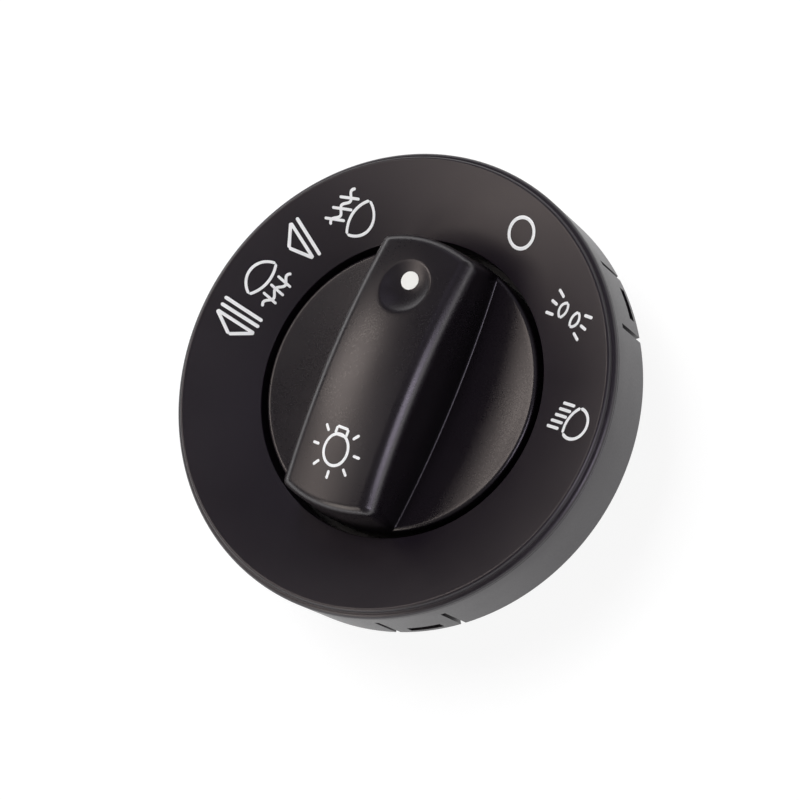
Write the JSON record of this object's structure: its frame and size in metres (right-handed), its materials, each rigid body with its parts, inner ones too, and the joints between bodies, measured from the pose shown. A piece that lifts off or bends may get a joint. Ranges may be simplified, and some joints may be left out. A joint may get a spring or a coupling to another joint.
{
  "type": "rotary headlight switch",
  "caption": "Round dashboard light switch: dished bezel with lamp pictographs, a turning grip knob that also pulls out, and a flat back with a plug socket.",
  "frame": {"origin": "on the knob's axis, on the flat back of the rear cover", "axes": "+Z along the knob's axis towards the driver, +Y from the axis to the off ring on the face"},
  "size_m": [0.076, 0.076, 0.0441],
  "materials": {
    "bezel_black": "fine matt grain, moulded black",
    "knob_black": "satin, moulded black",
    "housing_black": "plain moulded black",
    "cover_black": "plain moulded black",
    "mark_white": "white, flush with the skin",
    "milky_guide": "milky white, smooth",
    "clear_guide": "clear, smooth",
    "circuit_board": "green solder mask",
    "lamp_body": "pale yellow resin",
    "resistor_body": "black ceramic chip",
    "rotor_plastic": "natural acetal",
    "shaft_plastic": "glass-filled grey plastic",
    "plate_plastic": "black filled plastic",
    "contact_copper": "stamped copper alloy",
    "terminal_tin": "tinned brass",
    "spring_steel": "bright spring steel"
  },
  "bodies": {
    "housing": {"bezel": "bezel_black", "bezel_marks": "mark_white", "light_guide": "clear_guide", "lamp_board": "circuit_board", "board_lamps": "lamp_body", "board_resistors": "resistor_body", "housing": "housing_black", "detent_ball": "spring_steel", "detent_spring": "spring_steel", "contact_plate": "plate_plastic", "contact_tracks": "contact_copper", "fog_contacts": "contact_copper", "terminals": "terminal_tin", "rear_cover": "cover_black"},
    "rotor": {"rotor": "rotor_plastic", "rotor_wipers": "contact_copper", "pull_clip": "spring_steel"},
    "knob": {"knob": "knob_black", "knob_marks": "mark_white", "knob_light_guide": "milky_guide", "shaft": "shaft_plastic", "shaft_clip": "spring_steel"},
    "fog_slider": {"fog_slider": "rotor_plastic", "fog_bridge": "contact_copper"}
  },
  "joints": [
    {"name": "rotor_turn", "type": "hinge", "parent": "housing", "child": "rotor", "pos_m": [0, 0, 0.019], "axis": [0, 0, -1], "range_deg": [0, 83]},
    {"name": "knob_pull", "type": "slide", "parent": "rotor", "child": "knob", "axis": [0, 0, 1], "range_m": [0, 0.0056]},
    {"name": "fog_lift", "type": "slide", "parent": "housing", "child": "fog_slider", "axis": [0, 0, 1], "range_m": [0, 0.0056]}
  ],
  "couplings": [
    {"joint": "fog_lift", "follows": "knob_pull", "ratio": 1}
  ]
}
